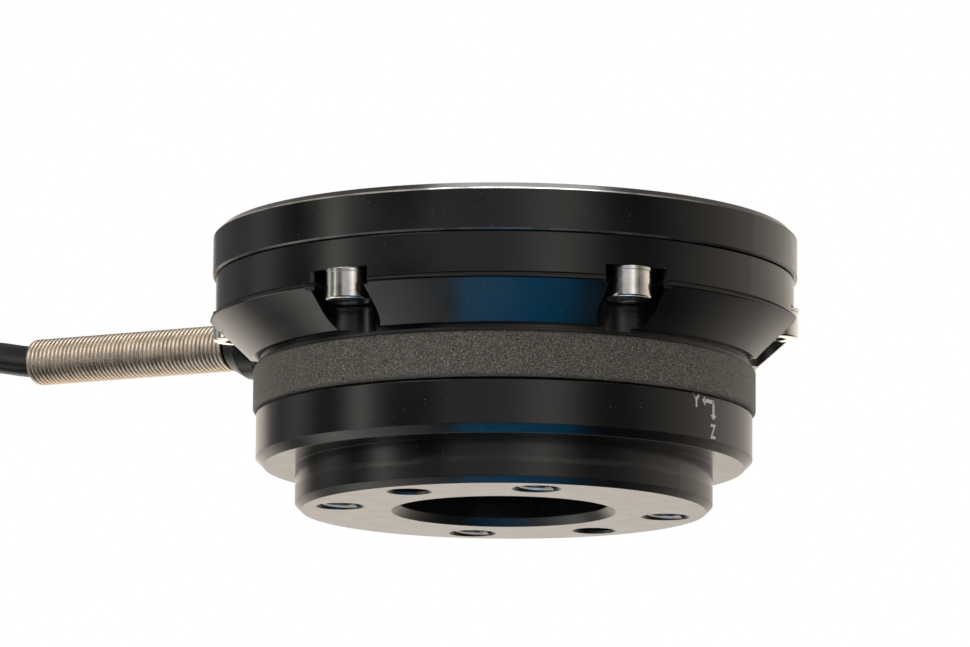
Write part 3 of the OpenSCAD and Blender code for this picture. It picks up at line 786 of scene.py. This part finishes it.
def blue_card():
    """Blue light card lying below the tool side, seen only in the gloss."""
    bpy.ops.object.light_add(type="AREA", location=(0.0236, -0.0215, -0.080),
                             rotation=(math.pi, 0, math.radians(34.07)))
    card = bpy.context.object
    card.name = "blue_card"
    card.data.shape = "RECTANGLE"
    card.data.size, card.data.size_y = 0.068, 0.078
    card.data.spread = math.radians(75)
    card.data.energy = 0.0040
    card.data.color = (0.0, 0.45, 1.0)
    card.visible_camera = card.visible_diffuse = card.visible_transmission = False


def show_only(nodes, links, amount, shader):
    """Shows a stage piece with this shader by amount, and lets light through otherwise."""
    shown = nodes.new("ShaderNodeMixShader")
    links.new(amount, shown.inputs[0])
    links.new(nodes.new("ShaderNodeBsdfTransparent").outputs[0], shown.inputs[1])
    links.new(shader.outputs[0], shown.inputs[2])
    links.new(shown.outputs[0], nodes["Material Output"].inputs["Surface"])


def stage_material(piece, name):
    material = bpy.data.materials.new(name)
    material.use_nodes = True
    piece.data.materials.append(material)
    return material.node_tree.nodes, material.node_tree.links


def dark_flag():
    """Dark flag beyond the left of the upper body, seen only in the gloss."""
    unselect()
    bpy.ops.mesh.primitive_plane_add(size=1, location=(-0.1145, -0.007, 0.062),
                                     rotation=(math.pi / 2, 0, math.radians(64.3)))
    flag = bpy.context.object
    flag.scale = (0.080, 0.050, 1)
    flag.name = "dark_flag"
    nodes, links = stage_material(flag, "dark_flag")
    nodes.remove(nodes["Principled BSDF"])
    dark = nodes.new("ShaderNodeEmission")
    dark.inputs["Color"].default_value = (0.2, 0.2, 0.2, 1.0)
    show_only(nodes, links, nodes.new("ShaderNodeLightPath").outputs["Is Glossy Ray"], dark)


def pale_floor():
    """Pale floor under the part. From below it lets the view through."""
    unselect()
    bpy.ops.mesh.primitive_plane_add(size=3.0, location=(0, 0, -0.0004))
    floor = bpy.context.object
    floor.name = "floor"
    nodes, links = stage_material(floor, "pale_floor")
    shader = nodes["Principled BSDF"]
    shader.inputs["Base Color"].default_value = (0.80, 0.80, 0.79, 1.0)
    shader.inputs["Roughness"].default_value = 0.9
    rays = nodes.new("ShaderNodeLightPath")
    side = nodes.new("ShaderNodeNewGeometry")
    top = nodes.new("ShaderNodeMath")
    top.operation = "SUBTRACT"
    top.use_clamp = True
    links.new(rays.outputs["Is Camera Ray"], top.inputs[0])
    links.new(side.outputs["Backfacing"], top.inputs[1])
    show_only(nodes, links, top.outputs[0], shader)


# ---------------------------------------------------------------- making

place_camera()
finishes = {
    "black": black_anodised(matt=(0.0287, 0.0292)),
    "shroud": black_anodised("shroud_anodised", matt=(0.0284, 0.0292)),
    "tool": black_anodised("tool_side_anodised", satin_below=0.0036),
    # The plate's chamfer lines: partly wear, partly painted highlight on one side.
    "plate": black_anodised("plate_anodised",
                            worn_and_lit_heights=[(0.0411, 0.04145, 1.0), (0.0351, 0.0355, 0.2)]),
    "cell": milled_aluminium("cell_aluminium", 0.0365),
    "band": sintered_band(),
    "screw": machined_steel("stainless_screw", (0.82, 0.79, 0.75), 0.15),
    "washer": machined_steel("stainless_washer", (0.72, 0.70, 0.67), 0.18),
    "spring": spring_wire_steel(),
    "insert": machined_steel("insert_wire", (0.36, 0.36, 0.36), 0.28),
    "nickel": machined_steel("nickel_plate", (0.66, 0.64, 0.60), 0.2, (1, 0, 0)),
    "aluminium": milled_aluminium(),
    "gold": gold_plate(),
    "seal": rubber("seal_rubber", (0.02, 0.02, 0.02)),
    "jacket": cable_jacket(),
    "gland": black_anodised("gland_anodised", 0.28),
    "board": solder_mask(),
    "chip": moulded("chip_epoxy", (0.022, 0.022, 0.024), 0.5),
    "plug": moulded("plug_shell", (0.016, 0.016, 0.017), 0.42, 0.0004),
    "ivory": moulded("ivory_plastic", (0.75, 0.71, 0.58), 0.4),
    "foil": gauge_foil(),
    "wire": rubber("wire_insulation", (0.45, 0.03, 0.02), 0.4),
    "mark": mark_paint(),
}
spring = wind_spring(finishes["spring"])
lay_cable(finishes["jacket"])
wind_thread_inserts(finishes["insert"])
mark_axes(finishes["mark"])

WEARS = {
    "black": ("sensor_body",),
    "shroud": ("cone_shroud",),
    "tool": ("tool_plate",),
    "plate": ("coupling_plate",),
    "cell": ("load_cell",),
    "band": ("sealing_band",),
    "screw": ("sensor_screws", "hub_screws", "cell_screws", "board_screws", "cover_screws",
              "robot_dowel_pin", "cable_ferrule"),
    "washer": ("screw_washers",),
    "nickel": ("connector_nut",),
    "aluminium": ("top_cover",),
    "gold": ("connector_pins",),
    "seal": ("coupling_seal", "cover_gasket"),
    "jacket": ("cable", "cable_coil", "cable_tail"),
    "gland": ("cable_gland",),
    "board": ("circuit_board",),
    "chip": ("board_chips",),
    "plug": ("connector_body", "connector_insert", "cable_ties"),
    "ivory": ("board_connector",),
    "foil": ("strain_gauges",),
    "wire": ("conductors",),
    "spring": ("strain_relief_spring",),
    "insert": ("thread_inserts",),
}
for finish, names in WEARS.items():
    for name in names:
        cad[name].material_slots[0].material = finishes[finish]

studio_world()
softbox("overhead_softbox", (0.05, 0.05, 1.1), 0.55, 5.0)
softbox("side_softbox", (-0.2, -1.2, 0.75), 0.6, 4.0)
blue_card()
dark_flag()
pale_floor()
bpy.context.scene.view_settings.view_transform = "Standard"
